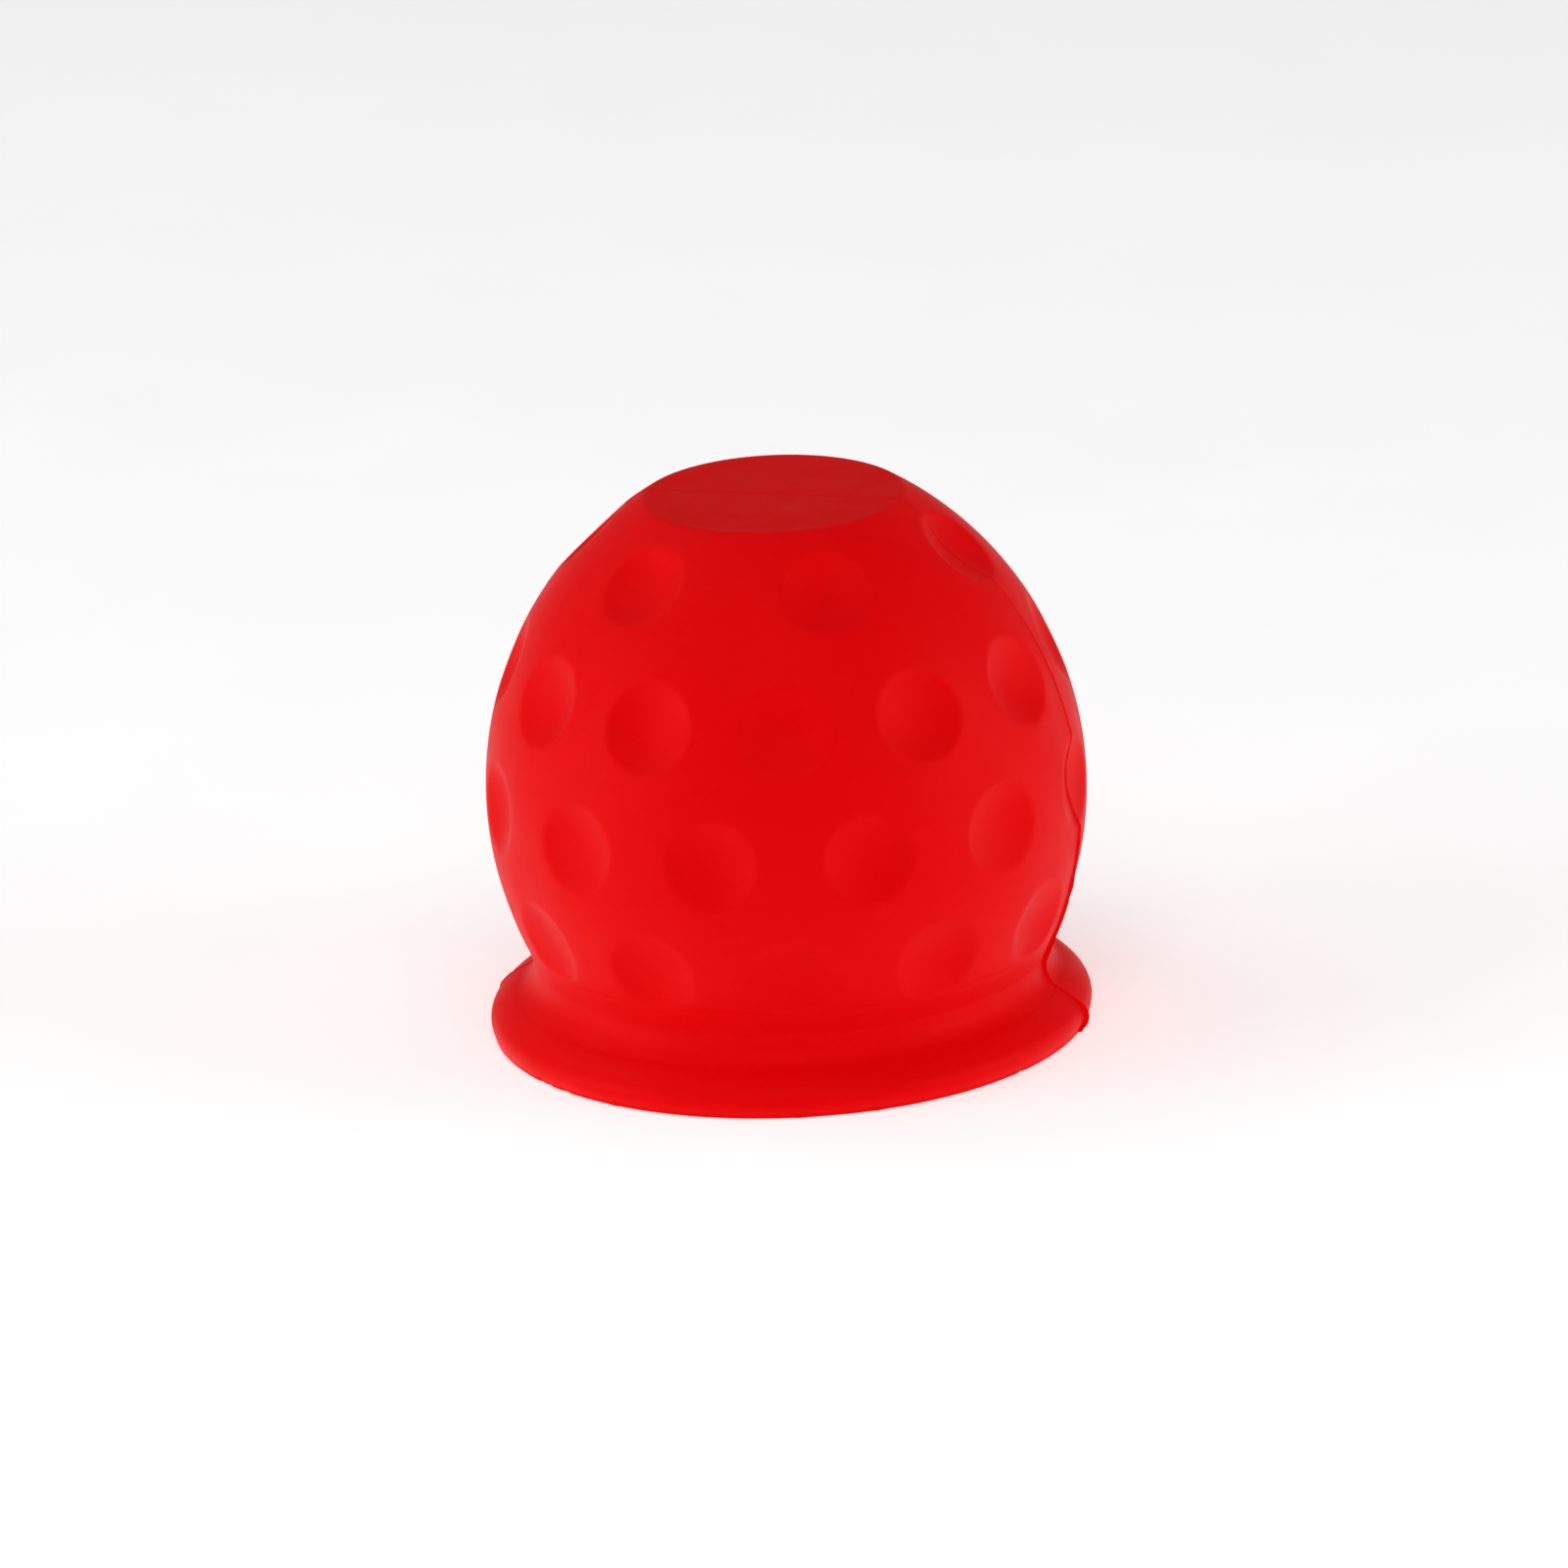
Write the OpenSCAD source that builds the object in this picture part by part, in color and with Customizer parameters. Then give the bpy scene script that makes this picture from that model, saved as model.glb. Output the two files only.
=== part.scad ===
// Soft rubber cap shaped like a golf ball on a rimmed collar, pushed over a trailer's coupling ball.
// Millimetres, +Z up. The origin is the centre of the face that the cap stands on.
// It is one moulding, divided along its own lines into the features that meet face to face.

/* [Coupling ball] */
// Diameter of the coupling ball that the cap covers
ball_d = 50; // [48:0.5:51]
// Gap between the ball and the inner edges of the ribs
ball_gap = 0.1; // [0:0.05:0.3]

/* [Dome] */
// Greatest diameter of the dome
dome_d = 68; // [66:0.5:70]
// Height of the greatest diameter above the base
equator_z = 27.75; // [27:0.25:29]
// Radius of the arc that gives the dome its egg shape
side_arc_r = 40.5; // [39:0.25:42]
// Overall height, to the flat top
total_h = 62.3; // [61.5:0.1:63]
// Thickness of the wall between dimples
wall = 3.4; // [3:0.1:3.6]

/* [Dimples] */
// Diameter of one dimple's edge
dimple_d = 9.8; // [8:0.2:11]
// Depth of a dimple below the surface around it
dimple_depth = 1.3; // [0.9:0.05:1.5]
// Elevation of each ring of dimples, in degrees above the equator, from the top ring down
row_elevations = [54.5, 28.5, 3, -21]; // [-22:0.5:55]

/* [Collar and rim] */
// Height at which the dome ends and the collar begins
collar_top_z = 11; // [10.5:0.1:11.5]
// Step inwards from the dome's lower edge to the collar
collar_step = 0.15; // [0.05:0.05:0.3]
// Outer diameter of the collar at its narrowest
neck_d = 58.6; // [58:0.2:59.2]
// Radius of the hollow between the collar and the rim
hollow_r = 4; // [3:0.1:4.5]
// Outer diameter of the rim
rim_d = 68.4; // [67.5:0.1:69]
// Slope of the rim's upper face, in degrees below level
rim_slope = 35; // [30:1:40]
// Radius of the rolled edge of the rim
rim_roll_r = 2; // [1.8:0.1:2.2]
// Height of the middle of the rolled edge
rim_roll_z = 1.5; // [1.3:0.1:1.7]
// Width of the trimmed corner at the rim's foot
rim_foot_inset = 0.3; // [0.2:0.05:0.5]

/* [Inside] */
// Diameter of the mouth inside the retaining lip, which stretches over the ball
mouth_d = 48; // [46:0.5:48.5]
// Length of the straight part of the mouth
mouth_land = 2.4; // [1.5:0.1:3]
// Chamfer at the mouth's outer end, which leads the ball in
mouth_lead = 1.2; // [0.5:0.1:1.5]
// Number of upright ribs inside the wall
rib_count = 8; // [6:1:10]
// Angle that one rib takes up round the axis
rib_angle = 5.5; // [4:0.5:7]
// Height of the ribs' lower ends
rib_bottom_z = 13; // [12:0.5:16]
// Height of the ribs' upper ends
rib_top_z = 51; // [46:0.5:52]
// Height of the inner ring that rests on the ball
boss_h = 1.5; // [1:0.1:2]
// Outer diameter of that ring
boss_d = 20; // [18:1:24]
// Width of that ring
boss_w = 3; // [2:0.5:4]

/* [Mould flash] */
// Height of the parting line above the surface
flash_h = 0.35; // [0.2:0.05:0.5]
// Thickness of the parting line
flash_t = 0.5; // [0.3:0.05:0.8]

/* [Hidden] */
$fn = 96;
rubber = "crimson";
inner_rubber = "firebrick";

// Dome: a circular arc whose centre lies past the axis, turned about the axis
dome_r = dome_d / 2;
arc_offset = side_arc_r - dome_r;
crown_r = arc_radius_at(total_h, side_arc_r);
inner_arc_r = side_arc_r - wall;
crown_bottom_z = equator_z + sqrt(pow(inner_arc_r, 2) - pow(crown_r + arc_offset, 2));

// Dimples: spheres sunk along lines through the dome's centre
dimple_sag = pow(dimple_d / 2, 2) / (dome_r + side_arc_r);
dimple_cut = dimple_depth - dimple_sag;
dimple_tool_r = (pow(dimple_d / 2, 2) + pow(dimple_cut, 2)) / (2 * dimple_cut);
// Number of dimples in each ring and the angle of the first, from the top ring down
dimple_rows = [[6, 0], [12, 15], [12, 0], [12, 15]];

// Collar and rim: a hollow, a slope and a rolled edge. The hollow and the roll cross the slope's line
// by this much, so that each of them meets it along a clean edge.
slope_bite = 0.05;
neck_r = neck_d / 2;
collar_top_r = arc_radius_at(collar_top_z, side_arc_r) - collar_step;
bore_r = arc_radius_at(collar_top_z, inner_arc_r);
slope_out = [sin(rim_slope), cos(rim_slope)];
roll_centre = [rim_d / 2 - rim_roll_r, rim_roll_z];
slope_reach = slope_out * roll_centre + rim_roll_r - slope_bite;
hollow_centre_r = neck_r + hollow_r;
hollow_centre_z = (slope_reach + hollow_r - slope_bite - slope_out.x * hollow_centre_r) / slope_out.y;
hollow_centre = [hollow_centre_r, hollow_centre_z];
rim_top_z = hollow_centre_z - hollow_r * slope_out.y;
rim_foot_r = rim_d / 2 - rim_foot_inset;

// Inside: the lip's inner face slopes back to the bore at this run per unit of height
lip_slope = 2;
ball_clear_r = ball_d / 2 + ball_gap;
ball_z = crown_bottom_z - boss_h - ball_d / 2;
mouth_r = mouth_d / 2;
lip_top_z = mouth_lead + mouth_land + (bore_r - mouth_r) / lip_slope;

// Radius of the dome's arc at a height, for an arc of radius arc_r
function arc_radius_at(z, arc_r) = sqrt(pow(arc_r, 2) - pow(z - equator_z, 2)) - arc_offset;

// Distance from the dome's centre to its surface at an elevation
function surface_reach(elevation) =
    sqrt(pow(side_arc_r, 2) - pow(arc_offset * sin(elevation), 2)) - arc_offset * cos(elevation);

// Distance from the dome's centre to the centre of a dimple's sphere
function dimple_reach(elevation) = surface_reach(elevation) - dimple_depth + dimple_tool_r;

// Half section of the space inside the dome's arc, between two heights
module arc_section(arc_r, z_low, z_high) {
    intersection() {
        translate([-arc_offset, equator_z]) circle(r = arc_r);
        translate([0, z_low]) square([dome_r + wall, z_high - z_low]);
    }
}

// Half section of everything inside the outer line of the collar and the rim
module foot_section(grow) {
    intersection() {
        difference() {
            union() {
                translate(roll_centre) circle(r = rim_roll_r + grow);
                polygon([
                    [0, 0],
                    [rim_foot_r + grow, 0],
                    [rim_foot_r + grow, rim_roll_z],
                    roll_centre + (rim_roll_r + grow - slope_bite) * slope_out,
                    hollow_centre - (hollow_r - grow - slope_bite) * slope_out,
                    hollow_centre,
                    [neck_r + grow, hollow_centre_z],
                    [collar_top_r + grow, collar_top_z],
                    [0, collar_top_z]
                ]);
            }
            translate(hollow_centre) circle(r = hollow_r - grow);
        }
        square([rim_d, collar_top_z]);
    }
}

// Spheres that sink the dimples, ring by ring
module dimple_tools() {
    for (row = [0 : len(dimple_rows) - 1])
        for (i = [0 : dimple_rows[row][0] - 1])
            translate([0, 0, equator_z])
                rotate([0, -row_elevations[row], dimple_rows[row][1] + i * 360 / dimple_rows[row][0]])
                    translate([dimple_reach(row_elevations[row]), 0, 0])
                        sphere(r = dimple_tool_r);
}

// Dimpled wall of the dome, open above and below
module dome_shell() {
    color(rubber)
        difference() {
            rotate_extrude()
                difference() {
                    arc_section(side_arc_r, collar_top_z, total_h);
                    translate([-arc_offset, equator_z]) circle(r = inner_arc_r);
                    square([crown_r, total_h]);
                }
            dimple_tools();
        }
}

// Flat round top
module crown_disc() {
    color(rubber)
        translate([0, 0, crown_bottom_z])
            cylinder(r = crown_r, h = total_h - crown_bottom_z);
}

// Plain narrow band between dome and rim
module neck_collar() {
    color(rubber)
        rotate_extrude()
            difference() {
                foot_section(0);
                square([bore_r, total_h]);
                square([rim_d, rim_top_z]);
            }
}

// Rolled rim that the cap stands on
module rim_bead() {
    color(rubber)
        rotate_extrude()
            difference() {
                intersection() {
                    foot_section(0);
                    square([rim_d, rim_top_z]);
                }
                square([bore_r, total_h]);
            }
}

// Inward lip at the mouth
module retaining_lip() {
    color(inner_rubber)
        rotate_extrude()
            polygon([
                [mouth_r + mouth_lead, 0],
                [bore_r, 0],
                [bore_r, lip_top_z],
                [mouth_r, mouth_lead + mouth_land],
                [mouth_r, mouth_lead]
            ]);
}

// Upright ribs that centre the ball
module grip_ribs() {
    color(inner_rubber)
        for (i = [0 : rib_count - 1])
            rotate([0, 0, (i + 0.5) * 360 / rib_count - rib_angle / 2])
                rotate_extrude(angle = rib_angle)
                    difference() {
                        arc_section(inner_arc_r, rib_bottom_z, rib_top_z);
                        translate([0, ball_z]) circle(r = ball_clear_r);
                        square([ball_clear_r, ball_z]);
                    }
}

// Ring under the flat top that rests on the ball
module crown_boss() {
    color(inner_rubber)
        translate([0, 0, crown_bottom_z - boss_h])
            difference() {
                cylinder(d = boss_d, h = boss_h);
                translate([0, 0, -boss_h]) cylinder(d = boss_d - 2 * boss_w, h = 3 * boss_h);
            }
}

// Half section of the cap's outer line where it crosses the parting plane, dimples taken away
module parting_section(grow) {
    difference() {
        union() {
            arc_section(side_arc_r + grow, collar_top_z, total_h + grow);
            foot_section(grow);
        }
        for (row = [0 : len(dimple_rows) - 1])
            if (dimple_rows[row][1] == 0)
                translate([0, equator_z])
                    rotate(row_elevations[row])
                        translate([dimple_reach(row_elevations[row]), 0])
                            circle(r = dimple_tool_r - grow);
    }
}

// Raised line that the two mould halves leave over the top and down both sides
module mould_flash() {
    color(rubber)
        rotate([90, 0, 0])
            translate([0, 0, -flash_t / 2])
                linear_extrude(height = flash_t)
                    for (side = [0, 1])
                        mirror([side, 0])
                            difference() {
                                parting_section(flash_h);
                                parting_section(0);
                            }
}

dome_shell();
crown_disc();
neck_collar();
rim_bead();
retaining_lip();
grip_ribs();
crown_boss();
mould_flash();
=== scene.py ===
"""Looks of a soft red rubber cap, shaped like a golf ball on a rimmed collar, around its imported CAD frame.

The cap is one moulding. Each CAD node has one visible piece here: a closed, finely meshed solid with the
rounded dimple edges, soft corners and ragged parting line that moulded rubber has. Outlines are worked out in
millimetres and turned into metres when a mesh is made.
"""

import math

import bmesh
import bpy
import numpy as np
from mathutils import Matrix, Vector


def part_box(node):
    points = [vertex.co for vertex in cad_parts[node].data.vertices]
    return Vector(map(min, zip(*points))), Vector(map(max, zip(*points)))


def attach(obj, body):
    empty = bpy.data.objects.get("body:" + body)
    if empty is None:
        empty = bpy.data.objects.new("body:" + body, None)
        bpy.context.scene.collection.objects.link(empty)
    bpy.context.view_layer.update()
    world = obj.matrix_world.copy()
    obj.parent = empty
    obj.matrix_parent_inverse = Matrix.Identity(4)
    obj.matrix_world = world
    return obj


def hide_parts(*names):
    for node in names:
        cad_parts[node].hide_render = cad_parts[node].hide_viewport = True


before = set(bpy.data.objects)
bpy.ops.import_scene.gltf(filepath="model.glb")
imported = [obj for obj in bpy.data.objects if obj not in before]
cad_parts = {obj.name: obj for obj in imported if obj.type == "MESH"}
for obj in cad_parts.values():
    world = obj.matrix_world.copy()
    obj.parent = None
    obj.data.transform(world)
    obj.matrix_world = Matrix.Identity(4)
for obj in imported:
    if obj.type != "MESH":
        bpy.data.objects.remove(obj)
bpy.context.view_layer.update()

MM = 0.001
BODY = "root"
X, Y, Z = 0, 1, 2


def extent(node, axis):
    """Lowest and highest place of a CAD node along an axis, in millimetres."""
    low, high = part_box(node)
    return low[axis] / MM, high[axis] / MM


def outward(angle):
    """Unit vector in a half section, at an angle in degrees above the horizontal."""
    return np.array([math.cos(math.radians(angle)), math.sin(math.radians(angle))])


# ---------------------------------------------------------------- sizes, in millimetres

# From the CAD frame
CROWN_BOTTOM, TOTAL_H = extent("crown_disc", Z)
COLLAR_TOP = extent("neck_collar", Z)[1]
RIM_R = extent("rim_bead", Y)[1]
BORE_R = extent("retaining_lip", Y)[1]
LIP_TOP = extent("retaining_lip", Z)[1]
RIB_BOTTOM, RIB_TOP = extent("grip_ribs", Z)
BOSS_BOTTOM, BOSS_TOP = extent("crown_boss", Z)
BOSS_R = extent("crown_boss", X)[1]

# Dome: a circular arc turned about the axis, whose centre lies past the axis
DOME_R = 34.0
EQUATOR_Z = 27.75
SIDE_ARC_R = 40.5
ARC_OFFSET = SIDE_ARC_R - DOME_R
ARC_CENTRE = (-ARC_OFFSET, EQUATOR_Z)
WALL = 3.4
INNER_ARC_R = SIDE_ARC_R - WALL

# Edge of the flat top: a small arc that touches the dome's arc and the flat
EDGE_R = 1.6
EDGE_Z = TOTAL_H - EDGE_R
FLAT_R = math.sqrt((SIDE_ARC_R - EDGE_R) ** 2 - (EDGE_Z - EQUATOR_Z) ** 2) - ARC_OFFSET
EDGE_CENTRE = (FLAT_R, EDGE_Z)
EDGE_ANGLE = math.degrees(math.atan2(EDGE_Z - EQUATOR_Z, FLAT_R + ARC_OFFSET))

# Dimples: number in each ring, angle of the first and elevation in degrees, depth
DIMPLE_ROWS = [(6, 0.0, 54.0, 1.5), (12, 15.0, 28.1, 1.5), (12, 0.0, 3.0, 1.5), (12, 15.0, -21.0, 1.25)]
DIMPLE_R = 5.2
DIMPLE_SOFTNESS = 0.14

# Where dome and collar meet: the strip above, in which the lowest dimples close, and a faint groove
CREASE_STRIP = 1.2
CREASE_DEPTH = 0.05
CREASE_WIDTH = 0.35

# Collar and rim: a hollow, a slope that bulges a little and a rolled edge, each tangent to the next.
# Angles are those of the surface's outward direction above the horizontal, in degrees.
HOLLOW_R = 3.6
SLOPE_R = 8.0
SLOPE_TOP_ANGLE = 64.0
SLOPE_FOOT_ANGLE = 42.0
ROLL_R = 2.0
ROLL_Z = 1.5
FOOT_INSET = 0.3
ROLL_CENTRE = np.array([RIM_R - ROLL_R, ROLL_Z])
SLOPE_CENTRE = ROLL_CENTRE - outward(SLOPE_FOOT_ANGLE) * (SLOPE_R - ROLL_R)
SLOPE_TOP = SLOPE_CENTRE + outward(SLOPE_TOP_ANGLE) * SLOPE_R
SPLIT_Z = float(SLOPE_TOP[1])
HOLLOW_CENTRE = SLOPE_TOP + outward(SLOPE_TOP_ANGLE) * HOLLOW_R
NECK_R = HOLLOW_CENTRE[0] - HOLLOW_R
FOOT_R = RIM_R - FOOT_INSET
FOOT_ANGLE = -math.degrees(math.acos((FOOT_R - ROLL_CENTRE[0]) / ROLL_R))

# Uneven strip at the rim's foot, the soft corner under it, and the nicks and nibs that trimming left.
# A nick is three columns of the mesh wide.
FOOT_HEIGHT = 0.7
FOOT_ROUND = 0.12
FOOT_SEED = 5
FOOT_WAVINESS = 0.025
FOOT_WAVE_COLUMNS = 8
NICK_COUNT = 12
NICK_MARGIN = 4
NICK_DEPTHS = [-0.18, 0.14]
NICK_SHAPE = np.array([0.6, 1.0, 0.5])

# Retaining lip
MOUTH_R = 24.0
MOUTH_LEAD = 1.2
MOUTH_LAND = 2.4
LIP_ROUND = 0.5
LEAD_ROUND = 0.4

# Ribs, which follow the coupling ball with a gap: the share of their angle that is left between the
# flares at their roots, how far the roots reach into the wall, the height over which each end runs out
# into the wall, and how far even an end's tip stands off it
COUPLING_R = 25.0
BALL_GAP = 0.1
BALL_Z = BOSS_BOTTOM - COUPLING_R
RIB_COUNT = 8
RIB_ANGLE = math.radians(5.5)
RIB_WIDTH_SHARE = 0.9
RIB_FLARE = 0.7
RIB_ROOT = 0.15
RIB_END = 1.6
RIB_TIP = 0.05

# Ring under the flat top, which rests on the ball
BOSS_WIDTH = 3.0
BOSS_ROUND = 0.4

# Parting line: its height above the surface against height above the base
FLASH_HEIGHTS = [
    (0, 0.30), (0.3, 0.44), (0.8, 0.50), (1.6, 0.50), (2.6, 0.42), (3.3, 0.28), (4.5, 0.22), (5.5, 0.28),
    (7, 0.45), (9, 0.55), (11, 0.48), (14, 0.40), (18, 0.33), (24, 0.26), (30, 0.20),
    (42, 0.12), (50, 0.06), (62, 0.03),
]
# Its cross-section: place across it, and share of its height. Points up to FLASH_FOOT_UP lie at their
# own small height or depth in millimetres instead, so that the line's feet stay in the surface.
FLASH_SECTION = [
    (-0.30, -0.12), (-0.18, 0.02), (-0.10, 0.4), (-0.06, 0.9), (0, 1.0),
    (0.06, 0.9), (0.10, 0.4), (0.18, 0.02), (0.30, -0.12),
]
FLASH_FOOT_UP = 0.02
# Raggedness: period in points of its path and share of its height. It also leans to and fro.
FLASH_SEED = 11
FLASH_RAGGED = [(2, 0.14), (9, 0.16)]
LEAN_PERIOD = 12
LEAN = 0.06
# The left side was trimmed lower, and the right side sweeps forward as it nears the base. The line's
# last stretch runs straight down the foot, between two heights.
LEFT_TRIM = 0.55
SWEEP = 1.7
SWEEP_HEIGHT = 0.9
LAST_STRETCH_TOP = 0.42
LAST_STRETCH_END = 0.06

# The soft dome sits a little to one side of its rim: how far apart they are, towards which side in
# radians from +X, and between which heights the collar takes it up
SIDE_SHIFT = 0.58
SHIFT_TOWARDS = math.radians(15.0)
SHIFT_LOW = 3.0
SHIFT_HIGH = 11.5

# ---------------------------------------------------------------- mesh fineness

# Columns round the axis
DOME_COLUMNS = 600
RIM_COLUMNS = 480
LIP_COLUMNS = 360
BOSS_COLUMNS = 240
DISC_COLUMNS = 180
# Radius of the pinhole that turning leaves in the middle of the flat top
PINHOLE_R = 0.02
# Distance between points of an outline, in millimetres, and the distance at which two points are one
SKIN_STEP = 0.36
FINE_STEP = 0.1
EDGE_STEP = 0.15
HOLLOW_STEP = 0.06
SLOPE_STEP = 0.08
CORNER_STEP = 0.12
INNER_STEP = 1.2
PLAIN_STEP = 0.8
FLASH_STEP = 0.3
SAME_POINT = 1e-6
# Degrees of the dome's arc above the collar that have the finest mesh
FINE_STRIP = 2
COLLAR_POINTS = 37
RIB_ROOT_STEPS = 4
RIB_NOSE_STEPS = 5
RIB_END_STEPS = 5
RIB_MIDDLE_STEPS = 40
# Angles in degrees above which an edge is shaded sharp
SHARP_ANGLE = 35.0
RIB_SHARP_ANGLE = 60.0
FLASH_SHARP_ANGLE = 80.0

# ---------------------------------------------------------------- rubber, light and camera

# Two colours of each rubber's mottling, its roughness and the strength of its grain. Both shine alike.
OUTER_COLOURS = (0.81, 0.0006, 0.0016), (0.785, 0.0004, 0.0012)
OUTER_ROUGHNESS = 0.52
OUTER_GRAIN = 0.10
INNER_COLOURS = (0.76, 0.0006, 0.0016), (0.68, 0.0004, 0.0012)
INNER_ROUGHNESS = 0.42
INNER_GRAIN = 0.16
SHINE = 0.1
SHINE_TINT = (1, 0.3, 0.3, 1)

# Camera: angles in degrees, distance in metres, lens and sensor in millimetres. It aims at a height on
# the axis, a hair to the right, both in millimetres, and sees from NEAREST to FARTHEST, in metres.
CAMERA_AZIMUTH = 15.0
CAMERA_ELEVATION = 18.87
CAMERA_ROLL = 2.69
CAMERA_DISTANCE = 1.5
CAMERA_LENS = 304.4
CAMERA_AIM_Z = 27.79
CAMERA_AIM_RIGHT = 0.03
SENSOR_WIDTH = 36.0
NEAREST = 0.01
FARTHEST = 20.0

# Soft boxes: degrees round from the camera, degrees up, power in watts. Their distance and size and the
# floor's are in metres.
SOFT_BOXES = {
    "left_box": (-75, 12, 4.05),
    "right_box": (75, 12, 3.93),
    "front_box": (0, 50, 2.3),
    "back_box": (-105, 50, 1.25),
    "top_box": (0, 88, 0.5),
}
BOX_DISTANCE = 1.0
BOX_SIZE = 0.6
WORLD_SHADE = 0.222
FLOOR_HALF = 2.5
FLOOR_SHADE = 0.85
FLOOR_GLOW = 0.44


# ---------------------------------------------------------------- outlines


def arc_radius(z, arc_r):
    """Distance from the axis to a dome arc of radius arc_r at height z."""
    return math.sqrt(arc_r ** 2 - (z - EQUATOR_Z) ** 2) - ARC_OFFSET


def arc_angle(z, arc_r):
    """Angle in degrees, seen from the arc's centre, at which a dome arc reaches height z."""
    return math.degrees(math.asin((z - EQUATOR_Z) / arc_r))


def line(start, end, step=PLAIN_STEP):
    """Points from start to end, both included."""
    start, end = np.array(start, float), np.array(end, float)
    count = max(1, int(round(np.linalg.norm(end - start) / step)))
    return [tuple(start + (end - start) * i / count) for i in range(count + 1)]


def arc(centre, radius, start, end, step):
    """Points on a circular arc between two angles in degrees, both ends included."""
    count = max(2, int(round(abs(math.radians(end - start)) * radius / step)))
    angles = [math.radians(start + (end - start) * i / count) for i in range(count + 1)]
    return [(centre[0] + radius * math.cos(a), centre[1] + radius * math.sin(a)) for a in angles]


def joined(*parts):
    """The parts one after another, without repeated points."""
    out = []
    for part in parts:
        for point in part:
            if not out or math.dist(out[-1], point) > SAME_POINT:
                out.append(point)
    if math.dist(out[0], out[-1]) < SAME_POINT:
        out.pop()
    return out


def rounded(corners, radii):
    """A closed outline with each corner rounded off by its own radius, where that isn't 0."""
    out = []
    for i, radius in enumerate(radii):
        here = np.array(corners[i], float)
        if radius == 0:
            out.append(tuple(here))
            continue
        back = np.array(corners[i - 1], float) - here
        ahead = np.array(corners[(i + 1) % len(corners)], float) - here
        back /= np.linalg.norm(back)
        ahead /= np.linalg.norm(ahead)
        half = math.acos(float(back @ ahead)) / 2
        middle = (back + ahead) / np.linalg.norm(back + ahead)
        centre = here + middle * radius / math.sin(half)
        first = here + back * radius / math.tan(half) - centre
        last = here + ahead * radius / math.tan(half) - centre
        start = math.degrees(math.atan2(first[1], first[0]))
        end = math.degrees(math.atan2(last[1], last[0]))
        turn = (end - start + 180) % 360 - 180
        out += arc(centre, radius, start, start + turn, CORNER_STEP)
    return out


def wavering(count, period, rng):
    """Smooth random numbers, about -1 to 1, that change over a period of that many steps."""
    knots = rng.uniform(-1, 1, max(4, count // period + 3))
    return np.interp(np.linspace(0, len(knots) - 1, count), np.arange(len(knots)), knots)


# ---------------------------------------------------------------- surfaces


def dimple_axes():
    """Unit vectors from the dome's centre through the middle of each dimple."""
    axes = []
    for count, first, elevation, _ in DIMPLE_ROWS:
        across, up = outward(elevation)
        for i in range(count):
            around = math.radians(first + i * 360.0 / count)
            axes.append((across * math.cos(around), across * math.sin(around), up))
    return np.array(axes)


AXES = dimple_axes()
DEPTHS = np.concatenate([[depth] * count for count, _, _, depth in DIMPLE_ROWS])


def crease(z):
    """Depth at a height of the faint groove between dome and collar."""
    return CREASE_DEPTH * np.exp(-((z - COLLAR_TOP) / CREASE_WIDTH) ** 2)


def dimple_sink(points):
    """How far each point of the dome's smooth surface is pressed in, with softly rounded dimple edges."""
    from_centre = points - np.array([0, 0, EQUATOR_Z])
    along = from_centre @ AXES.T
    nearest = along.argmax(axis=1)
    reach = along[np.arange(len(points)), nearest]
    across = np.linalg.norm(from_centre - AXES[nearest] * reach[:, None], axis=1)
    bowl = DEPTHS[nearest] * (1 - (across / DIMPLE_R) ** 2)
    sink = 0.5 * (bowl + np.sqrt(bowl ** 2 + DIMPLE_SOFTNESS ** 2))
    open_share = np.clip((points[:, Z] - COLLAR_TOP) / CREASE_STRIP, 0, 1)
    return sink * open_share * (2 - open_share)


def dome_inwards(points):
    """Unit vectors from the dome's smooth surface towards its inside."""
    radius = np.hypot(points[:, X], points[:, Y])
    out_r = radius + ARC_OFFSET
    out_z = points[:, Z] - EQUATOR_Z
    length = np.hypot(out_r, out_z)
    flat = out_r / length / radius
    return -np.stack([points[:, X] * flat, points[:, Y] * flat, out_z / length], axis=1)


def pressed(points):
    """Points of the dome's smooth surface with the dimples pressed in and the groove at its foot."""
    points = points + dome_inwards(points) * dimple_sink(points)[:, None]
    radius = np.hypot(points[:, X], points[:, Y])
    points[:, :2] *= (1 - crease(points[:, Z]) / radius)[:, None]
    return points


def settled(points):
    """The points moved sideways by the little that the dome sits off its rim."""
    points = np.array(points, float)
    share = np.clip((points[:, Z] - SHIFT_LOW) / (SHIFT_HIGH - SHIFT_LOW), 0, 1)
    aside = SIDE_SHIFT * (share * share * (3 - 2 * share) - 0.5)
    points[:, X] += aside * math.cos(SHIFT_TOWARDS)
    points[:, Y] += aside * math.sin(SHIFT_TOWARDS)
    return points


# ---------------------------------------------------------------- meshes


def turned(outline, columns):
    """Points and faces of a closed half section turned about the axis, one column after another."""
    section = np.array(outline)
    angles = np.arange(columns) * 2 * math.pi / columns
    points = np.empty((columns, len(section), 3))
    points[:, :, X] = section[:, 0] * np.cos(angles)[:, None]
    points[:, :, Y] = section[:, 0] * np.sin(angles)[:, None]
    points[:, :, Z] = section[:, 1]
    return points.reshape(-1, 3), ring_faces(columns, len(section))


def ring_faces(columns, rows):
    """Quads of a closed grid of columns by rows, which wraps round both ways."""
    column = np.arange(columns)[:, None] * rows
    after = np.roll(column, -1, axis=0)
    row = np.arange(rows)[None, :]
    below = np.roll(row, -1, axis=1)
    quads = np.stack([column + row, after + row, after + below, column + below], axis=2)
    return quads.reshape(-1, 4)


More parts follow.
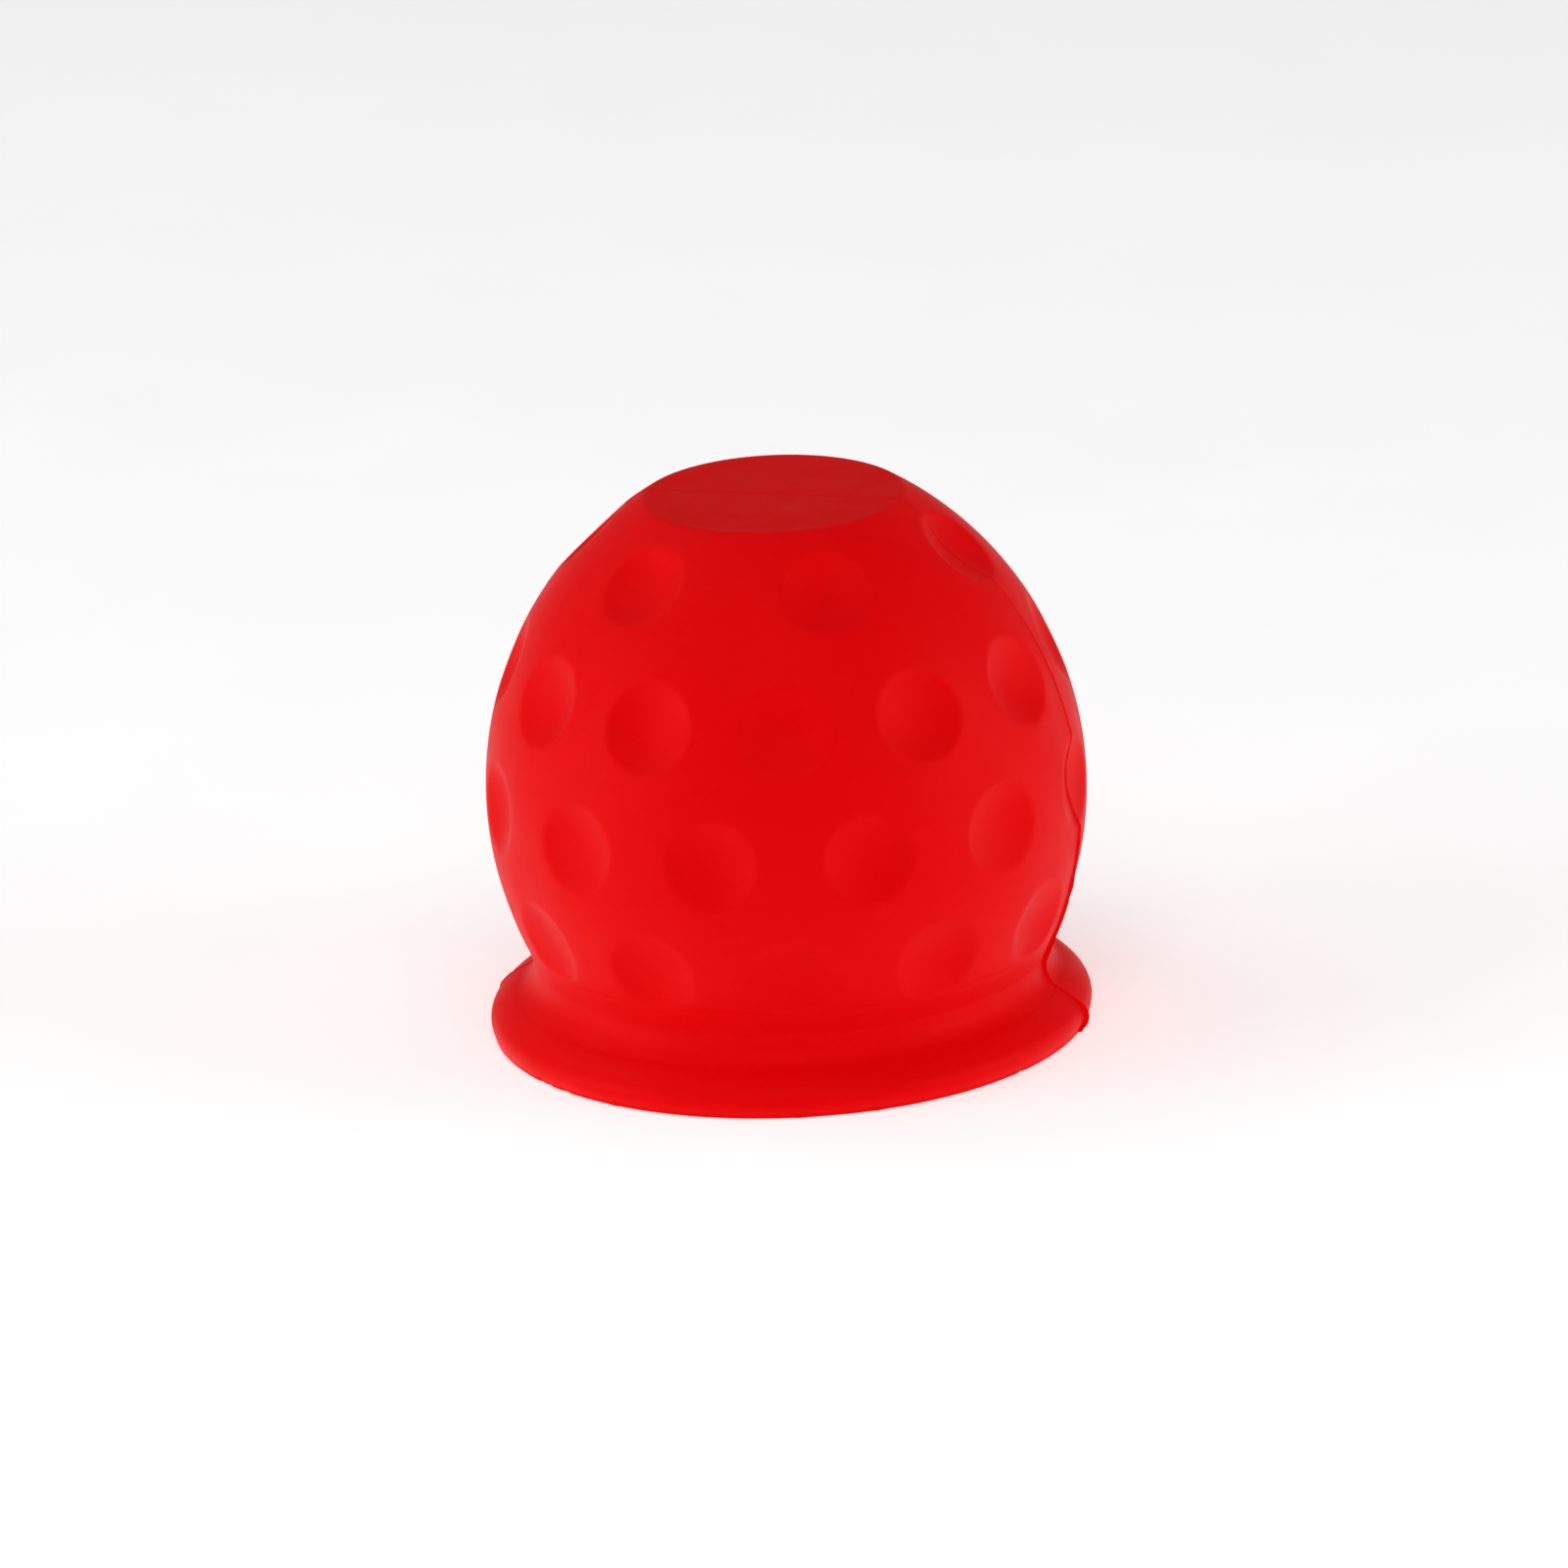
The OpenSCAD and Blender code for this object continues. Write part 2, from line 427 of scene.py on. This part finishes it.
def lofted(loops):
    """Points and faces of a closed skin through loops of points one after another, with flat ends."""
    size = len(loops[0])
    points = [point for loop in loops for point in loop]
    faces = []
    for base in range(0, len(points) - size, size):
        for j in range(size):
            a, b = base + j, base + (j + 1) % size
            faces.append((a, b, b + size, a + size))
    faces.append(tuple(reversed(range(size))))
    faces.append(tuple(range(len(points) - size, len(points))))
    return points, faces


def face_outwards(piece):
    """Turns the faces of a closed mesh so that they all look outwards."""
    held = bmesh.new()
    held.from_mesh(piece.data)
    bmesh.ops.recalc_face_normals(held, faces=held.faces)
    held.to_mesh(piece.data)
    held.free()


def make_piece(name, node, slot, points, faces, sharp_angle=SHARP_ANGLE):
    """A visible closed piece from points in millimetres, standing for one CAD node."""
    mesh = bpy.data.meshes.new(name)
    mesh.from_pydata((settled(points) * MM).tolist(), [], [[int(i) for i in face] for face in faces])
    mesh.validate()
    mesh.shade_smooth()
    mesh.set_sharp_from_angle(angle=math.radians(sharp_angle))
    piece = bpy.data.objects.new(name, mesh)
    bpy.context.scene.collection.objects.link(piece)
    face_outwards(piece)
    mesh.materials.append(FINISHES[slot])
    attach(piece, BODY)
    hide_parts(node)


# ---------------------------------------------------------------- pieces of the moulding


def make_dome():
    """Dimpled wall of the dome, up to the flat part of the top."""
    foot = arc_angle(COLLAR_TOP, SIDE_ARC_R)
    outer = joined(
        arc(ARC_CENTRE, SIDE_ARC_R, foot, foot + FINE_STRIP, FINE_STEP),
        arc(ARC_CENTRE, SIDE_ARC_R, foot + FINE_STRIP, EDGE_ANGLE, SKIN_STEP),
        arc(EDGE_CENTRE, EDGE_R, EDGE_ANGLE, 90, EDGE_STEP),
    )
    inner_top = arc_angle(CROWN_BOTTOM, INNER_ARC_R)
    inner_foot = arc_angle(COLLAR_TOP, INNER_ARC_R)
    inner = joined(
        line((FLAT_R, TOTAL_H), (FLAT_R, CROWN_BOTTOM))[1:],
        line((FLAT_R, CROWN_BOTTOM), (arc_radius(CROWN_BOTTOM, INNER_ARC_R), CROWN_BOTTOM)),
        arc(ARC_CENTRE, INNER_ARC_R, inner_top, inner_foot, INNER_STEP),
        line((BORE_R, COLLAR_TOP), (outer[0][0] - CREASE_DEPTH, COLLAR_TOP))[:-1],
    )
    outline = joined(outer, inner)
    points, faces = turned(outline, DOME_COLUMNS)
    skin = np.tile(np.arange(len(outline)) < len(outer), DOME_COLUMNS)
    points[skin] = pressed(points[skin])
    make_piece("dome_shell_skin", "dome_shell", "red_rubber", points, faces)


def make_crown():
    """Flat round top, a closed disc inside the dome's upper edge."""
    outline = joined(
        line((PINHOLE_R, TOTAL_H), (FLAT_R, TOTAL_H)),
        line((FLAT_R, TOTAL_H), (FLAT_R, CROWN_BOTTOM)),
        line((FLAT_R, CROWN_BOTTOM), (PINHOLE_R, CROWN_BOTTOM)),
    )
    points, faces = turned(outline, DISC_COLUMNS)
    make_piece("crown_disc_skin", "crown_disc", "red_rubber", points, faces)


def collar_line():
    """Outer line of the collar: carries on the dome's slope and turns upright at the neck."""
    top_r = arc_radius(COLLAR_TOP, SIDE_ARC_R)
    lean = (EQUATOR_Z - COLLAR_TOP) / (top_r + ARC_OFFSET)
    start = np.array([top_r, COLLAR_TOP])
    middle = np.array([NECK_R, COLLAR_TOP - (top_r - NECK_R) / lean])
    end = np.array([NECK_R, HOLLOW_CENTRE[1]])
    shares = np.linspace(0, 1, COLLAR_POINTS)
    curve = [start * (1 - t) ** 2 + middle * 2 * t * (1 - t) + end * t * t for t in shares]
    return [(r - float(crease(z)), z) for r, z in curve]


def make_collar():
    """Narrow band between dome and rim, hollowed into the rim's slope."""
    outer = collar_line()
    outline = joined(
        outer,
        arc(HOLLOW_CENTRE, HOLLOW_R, 180, 180 + SLOPE_TOP_ANGLE, HOLLOW_STEP),
        line(SLOPE_TOP, (BORE_R, SPLIT_Z)),
        line((BORE_R, SPLIT_Z), (BORE_R, COLLAR_TOP)),
        line((BORE_R, COLLAR_TOP), outer[0]),
    )
    points, faces = turned(outline, RIM_COLUMNS)
    make_piece("neck_collar_skin", "neck_collar", "red_rubber", points, faces)


def foot_unevenness():
    """How far the rim's foot stands out at each column: a faint waviness and a few nicks and nibs."""
    rng = np.random.default_rng(FOOT_SEED)
    out = FOOT_WAVINESS * wavering(RIM_COLUMNS + 1, FOOT_WAVE_COLUMNS, rng)
    for column in rng.integers(NICK_MARGIN, RIM_COLUMNS - NICK_MARGIN, NICK_COUNT):
        out[column:column + len(NICK_SHAPE)] += rng.choice(NICK_DEPTHS) * NICK_SHAPE
    return out[:RIM_COLUMNS]


def make_rim():
    """Rolled rim that the cap stands on, with a slightly uneven foot."""
    corner = [(FOOT_R, ROLL_Z), (FOOT_R, 0), (BORE_R, 0)]
    outline = joined(
        arc(SLOPE_CENTRE, SLOPE_R, SLOPE_TOP_ANGLE, SLOPE_FOOT_ANGLE, SLOPE_STEP),
        arc(ROLL_CENTRE, ROLL_R, SLOPE_FOOT_ANGLE, FOOT_ANGLE, FINE_STEP),
        rounded(corner, [0, FOOT_ROUND, 0])[1:-1],
        line((FOOT_R - FOOT_ROUND, 0), (BORE_R, 0)),
        line((BORE_R, 0), (BORE_R, SPLIT_Z)),
        line((BORE_R, SPLIT_Z), SLOPE_TOP),
    )
    points, faces = turned(outline, RIM_COLUMNS)
    radius = np.hypot(points[:, X], points[:, Y])
    foot_share = np.clip((FOOT_HEIGHT - points[:, Z]) / FOOT_HEIGHT, 0, 1) * (radius > ROLL_CENTRE[0])
    push = np.repeat(foot_unevenness(), len(outline))
    points[:, :2] *= (1 + push * foot_share / radius)[:, None]
    make_piece("rim_bead_skin", "rim_bead", "red_rubber", points, faces)


def make_lip():
    """Inward lip at the mouth, with soft corners."""
    corners = [
        (BORE_R, 0),
        (BORE_R, LIP_TOP),
        (MOUTH_R, MOUTH_LEAD + MOUTH_LAND),
        (MOUTH_R, MOUTH_LEAD),
        (MOUTH_R + MOUTH_LEAD, 0),
    ]
    outline = joined(rounded(corners, [0, 0, LIP_ROUND, LIP_ROUND, LEAD_ROUND]))
    points, faces = turned(outline, LIP_COLUMNS)
    make_piece("retaining_lip_skin", "retaining_lip", "inner_rubber", points, faces)


def rib_profile(wall_r, nose_r, half_width):
    """One level outline of a rib: a round nose towards the axis and a flared root in the wall."""
    depth = wall_r - nose_r
    flare = min(RIB_FLARE, depth * 0.5)
    nose = min(half_width, depth * 0.5)
    side = [(wall_r + RIB_ROOT, half_width + flare)]
    for i in range(RIB_ROOT_STEPS + 1):
        share = math.sin(math.radians(90 * i / RIB_ROOT_STEPS))
        side.append((wall_r - flare * share, half_width + flare * (1 - share)))
    for i in range(1, RIB_NOSE_STEPS + 1):
        turn = math.radians(90 * i / RIB_NOSE_STEPS)
        side.append((nose_r + nose * (1 - math.sin(turn)), half_width * math.cos(turn)))
    return side + [(r, -across) for r, across in reversed(side[:-1])]


def rib_level(z):
    """Outline of a rib at a height: it follows the ball inside, and runs out into the wall at its ends."""
    wall_r = arc_radius(z, INNER_ARC_R)
    ball_r = math.sqrt((COUPLING_R + BALL_GAP) ** 2 - max(0, z - BALL_Z) ** 2)
    near = min(z - RIB_BOTTOM, RIB_TOP - z, RIB_END) / RIB_END
    share = math.sqrt(max(0.0, 1 - (1 - near) ** 2))
    nose_r = wall_r - max(RIB_TIP, (wall_r - ball_r) * share)
    half_width = math.tan(RIB_ANGLE / 2) * wall_r * RIB_WIDTH_SHARE
    return rib_profile(wall_r, nose_r, half_width)


def make_ribs():
    """Upright ribs that centre the ball: each a closed loft of level outlines with rounded ends."""
    ends = RIB_END * (1 - np.cos(np.linspace(0, math.pi / 2, RIB_END_STEPS + 1)))
    middle = np.linspace(RIB_BOTTOM + RIB_END, RIB_TOP - RIB_END, RIB_MIDDLE_STEPS + 1)[1:-1]
    heights = np.concatenate([RIB_BOTTOM + ends, middle, (RIB_TOP - ends)[::-1]])
    points, faces = [], []
    for rib in range(RIB_COUNT):
        turn = (rib + 0.5) * 2 * math.pi / RIB_COUNT
        along = np.array([math.cos(turn), math.sin(turn)])
        sideways = np.array([-along[1], along[0]])
        loops = [[(*(along * r + sideways * side), z) for r, side in rib_level(z)] for z in heights]
        rib_points, rib_faces = lofted(loops)
        faces += [[len(points) + i for i in face] for face in rib_faces]
        points += rib_points
    make_piece("grip_ribs_skin", "grip_ribs", "inner_rubber", points, faces, RIB_SHARP_ANGLE)


def make_boss():
    """Ring under the flat top that rests on the ball."""
    inner_r = BOSS_R - BOSS_WIDTH
    corners = [(BOSS_R, BOSS_TOP), (inner_r, BOSS_TOP), (inner_r, BOSS_BOTTOM), (BOSS_R, BOSS_BOTTOM)]
    points, faces = turned(joined(rounded(corners, [0, 0, BOSS_ROUND, BOSS_ROUND])), BOSS_COLUMNS)
    make_piece("crown_boss_skin", "crown_boss", "inner_rubber", points, faces)


# ---------------------------------------------------------------- parting line


def outline_at_parting():
    """Points of the cap's outer line at the parting plane, from the top's centre to the rim's foot."""
    dome = joined(
        arc(EDGE_CENTRE, EDGE_R, 90, EDGE_ANGLE, FLASH_STEP),
        arc(ARC_CENTRE, SIDE_ARC_R, EDGE_ANGLE, arc_angle(COLLAR_TOP, SIDE_ARC_R), FLASH_STEP),
    )
    skin = pressed(np.array([(r, 0.0, z) for r, z in dome]))
    return np.array(joined(
        line((0, TOTAL_H), (FLAT_R, TOTAL_H), FLASH_STEP),
        [(r, z) for r, _, z in skin],
        collar_line()[2::3],
        arc(HOLLOW_CENTRE, HOLLOW_R, 180, 180 + SLOPE_TOP_ANGLE, FLASH_STEP),
        arc(SLOPE_CENTRE, SLOPE_R, SLOPE_TOP_ANGLE, SLOPE_FOOT_ANGLE, FLASH_STEP),
        arc(ROLL_CENTRE, ROLL_R, SLOPE_FOOT_ANGLE, FOOT_ANGLE, FLASH_STEP),
        line((FOOT_R, LAST_STRETCH_TOP), (FOOT_R, LAST_STRETCH_END), CORNER_STEP),
    ))


def make_flash():
    """Thin raised line over the top and down both sides, ragged where the mould let rubber out."""
    rng = np.random.default_rng(FLASH_SEED)
    side = outline_at_parting()
    path = np.concatenate([side[::-1] * [-1, 1], side[1:]])
    count = len(path)
    ahead = np.gradient(path, axis=0)
    ahead /= np.linalg.norm(ahead, axis=1)[:, None]
    outwards = np.stack([-ahead[:, 1], ahead[:, 0]], axis=1)
    heights = np.interp(path[:, 1], *zip(*FLASH_HEIGHTS))
    heights *= 1 + sum(share * wavering(count, period, rng) for period, share in FLASH_RAGGED)
    heights[path[:, 0] < 0] *= LEFT_TRIM
    leans = LEAN * wavering(count, LEAN_PERIOD, rng)
    aside = -SWEEP * np.clip(1 - path[:, 1] / SWEEP_HEIGHT, 0, 1) ** 2 * (path[:, 0] > 0)
    loops = []
    for (x, z), (out_x, out_z), height, lean, y in zip(path, outwards, heights, leans, aside):
        loop = []
        for across, up in FLASH_SECTION:
            rise = up * height if up > FLASH_FOOT_UP else up
            loop.append((x + out_x * rise, y + across + lean * max(0, up), z + out_z * rise))
        loops.append(loop)
    make_piece("mould_flash_line", "mould_flash", "red_rubber", *lofted(loops), FLASH_SHARP_ANGLE)


# ---------------------------------------------------------------- materials


def noise(tree, place, scale, detail=2.0, rough=0.5):
    """Noise texture on the shared object coordinates, which are in metres."""
    node = tree.nodes.new("ShaderNodeTexNoise")
    node.inputs["Scale"].default_value = scale
    node.inputs["Detail"].default_value = detail
    node.inputs["Roughness"].default_value = rough
    tree.links.new(place.outputs["Object"], node.inputs["Vector"])
    return node.outputs["Fac"]


def spread(tree, value, low=0.3, high=0.7, to_low=0.0, to_high=1.0):
    """Maps a value from one range, by default the one that noise mostly fills, to another."""
    node = tree.nodes.new("ShaderNodeMapRange")
    node.inputs["From Min"].default_value = low
    node.inputs["From Max"].default_value = high
    node.inputs["To Min"].default_value = to_low
    node.inputs["To Max"].default_value = to_high
    tree.links.new(value, node.inputs["Value"])
    return node.outputs["Result"]


def bump(tree, height, strength, depth, before=None):
    """Bump of a depth in metres, on top of the one before."""
    node = tree.nodes.new("ShaderNodeBump")
    node.inputs["Strength"].default_value = strength
    node.inputs["Distance"].default_value = depth
    tree.links.new(height, node.inputs["Height"])
    if before is not None:
        tree.links.new(before, node.inputs["Normal"])
    return node.outputs["Normal"]


def rubber(name, colours, roughness, grain):
    """Soft moulded rubber: faint mottling, matt and shinier patches, fine grain and a few specks."""
    material = bpy.data.materials.new(name)
    material.use_nodes = True
    tree = material.node_tree
    shader = tree.nodes["Principled BSDF"]
    place = tree.nodes.new("ShaderNodeTexCoord")

    mottle = spread(tree, noise(tree, place, scale=500.0, detail=3.0))
    mix = tree.nodes.new("ShaderNodeMix")
    mix.data_type = "RGBA"
    for socket, colour in zip("AB", colours):
        mix.inputs[socket].default_value = (*colour, 1)
    tree.links.new(mottle, mix.inputs["Factor"])
    tree.links.new(mix.outputs["Result"], shader.inputs["Base Color"])

    patches = noise(tree, place, scale=160.0, detail=4.0)
    matt = spread(tree, patches, to_low=roughness - 0.05, to_high=roughness + 0.06)
    tree.links.new(matt, shader.inputs["Roughness"])

    sink = noise(tree, place, scale=220.0)
    skin = noise(tree, place, scale=2600.0, detail=3.0, rough=0.6)
    specks = tree.nodes.new("ShaderNodeTexVoronoi")
    specks.inputs["Scale"].default_value = 190.0
    tree.links.new(place.outputs["Object"], specks.inputs["Vector"])
    pits = spread(tree, specks.outputs["Distance"], low=0.0, high=0.07)
    normal = bump(tree, sink, strength=0.10, depth=0.0002)
    normal = bump(tree, skin, strength=grain, depth=0.00004, before=normal)
    normal = bump(tree, pits, strength=0.25, depth=0.00008, before=normal)
    tree.links.new(normal, shader.inputs["Normal"])

    shader.inputs["Specular IOR Level"].default_value = SHINE
    shader.inputs["Specular Tint"].default_value = SHINE_TINT
    return material


def paper(name, shade, glow):
    """Pale, slightly glowing surface, like a lit product table."""
    material = bpy.data.materials.new(name)
    material.use_nodes = True
    tree = material.node_tree
    shader = tree.nodes["Principled BSDF"]
    place = tree.nodes.new("ShaderNodeTexCoord")
    fibre = noise(tree, place, scale=40.0, detail=4.0)
    tone = spread(tree, fibre, to_low=shade - 0.01, to_high=shade + 0.01)
    grey = tree.nodes.new("ShaderNodeCombineColor")
    for channel in ("Red", "Green", "Blue"):
        tree.links.new(tone, grey.inputs[channel])
    tree.links.new(grey.outputs["Color"], shader.inputs["Base Color"])
    shader.inputs["Roughness"].default_value = 0.9
    shader.inputs["Specular IOR Level"].default_value = 0.1
    shader.inputs["Emission Color"].default_value = (1, 1, 1, 1)
    shader.inputs["Emission Strength"].default_value = glow
    return material


# ---------------------------------------------------------------- studio and camera


def direction(azimuth, elevation):
    """Unit vector in a direction given in degrees: round from the front, and up."""
    around, up = math.radians(azimuth), math.radians(elevation)
    return np.array([math.sin(around) * math.cos(up), -math.cos(around) * math.cos(up), math.sin(up)])


def aim(thing, place, back, roll=0.0):
    """Puts a camera or lamp at a place, looking against back, rolled by an angle in radians."""
    back = Vector(back).normalized()
    right = Vector((0, 0, 1)).cross(back).normalized()
    up = back.cross(right)
    rolled_right = right * math.cos(roll) - up * math.sin(roll)
    rolled_up = right * math.sin(roll) + up * math.cos(roll)
    turn = Matrix((rolled_right, rolled_up, back)).transposed().to_4x4()
    thing.matrix_world = Matrix.Translation(Vector(place)) @ turn


def make_camera():
    """Long lens from a little above and right of the front, slightly rolled."""
    data = bpy.data.cameras.new("camera")
    data.lens = CAMERA_LENS
    data.sensor_width = SENSOR_WIDTH
    data.clip_start = NEAREST
    data.clip_end = FARTHEST
    camera = bpy.data.objects.new("camera", data)
    bpy.context.scene.collection.objects.link(camera)
    back = direction(CAMERA_AZIMUTH, CAMERA_ELEVATION)
    right = direction(CAMERA_AZIMUTH + 90, 0)
    target = np.array([0, 0, CAMERA_AIM_Z * MM]) + right * CAMERA_AIM_RIGHT * MM
    aim(camera, target + back * CAMERA_DISTANCE, back, math.radians(CAMERA_ROLL))
    bpy.context.scene.camera = camera


def make_softbox(name, azimuth, elevation, watts):
    """Square area light that looks at the dome's middle from a direction given in degrees."""
    light = bpy.data.lights.new(name, "AREA")
    light.shape = "SQUARE"
    light.size = BOX_SIZE
    light.energy = watts
    lamp = bpy.data.objects.new(name, light)
    back = direction(azimuth, elevation)
    aim(lamp, np.array([0, 0, EQUATOR_Z * MM]) + back * BOX_DISTANCE, back)
    bpy.context.scene.collection.objects.link(lamp)


def make_studio():
    """Plain soft studio: a box on each side, weaker ones in front, behind and above, and a dim world."""
    for name, (azimuth, elevation, watts) in SOFT_BOXES.items():
        make_softbox(name, CAMERA_AZIMUTH + azimuth, elevation, watts)
    world = bpy.data.worlds.new("studio")
    world.use_nodes = True
    background = world.node_tree.nodes["Background"]
    background.inputs["Color"].default_value = (1, 1, 1, 1)
    background.inputs["Strength"].default_value = WORLD_SHADE
    bpy.context.scene.world = world
    bpy.context.scene.view_settings.view_transform = "Standard"


def make_floor():
    """Pale sheet that the cap stands on."""
    corner_signs = [(-1, -1), (1, -1), (1, 1), (-1, 1)]
    mesh = bpy.data.meshes.new("studio_floor")
    mesh.from_pydata([(x * FLOOR_HALF, y * FLOOR_HALF, 0) for x, y in corner_signs], [], [(0, 1, 2, 3)])
    floor = bpy.data.objects.new("studio_floor", mesh)
    bpy.context.scene.collection.objects.link(floor)
    mesh.materials.append(paper("pale_table", FLOOR_SHADE, FLOOR_GLOW))


# ---------------------------------------------------------------- the scene

make_camera()
make_studio()
make_floor()

# Material of each of the record's slots
FINISHES = {
    "red_rubber": rubber("soft_red_rubber", OUTER_COLOURS, OUTER_ROUGHNESS, OUTER_GRAIN),
    "inner_rubber": rubber("core_side_rubber", INNER_COLOURS, INNER_ROUGHNESS, INNER_GRAIN),
}

make_dome()
make_crown()
make_collar()
make_rim()
make_flash()
make_lip()
make_ribs()
make_boss()


def corners(bounds):
    """A box as plain lists of numbers."""
    return [[float(x) for x in corner] for corner in bounds]
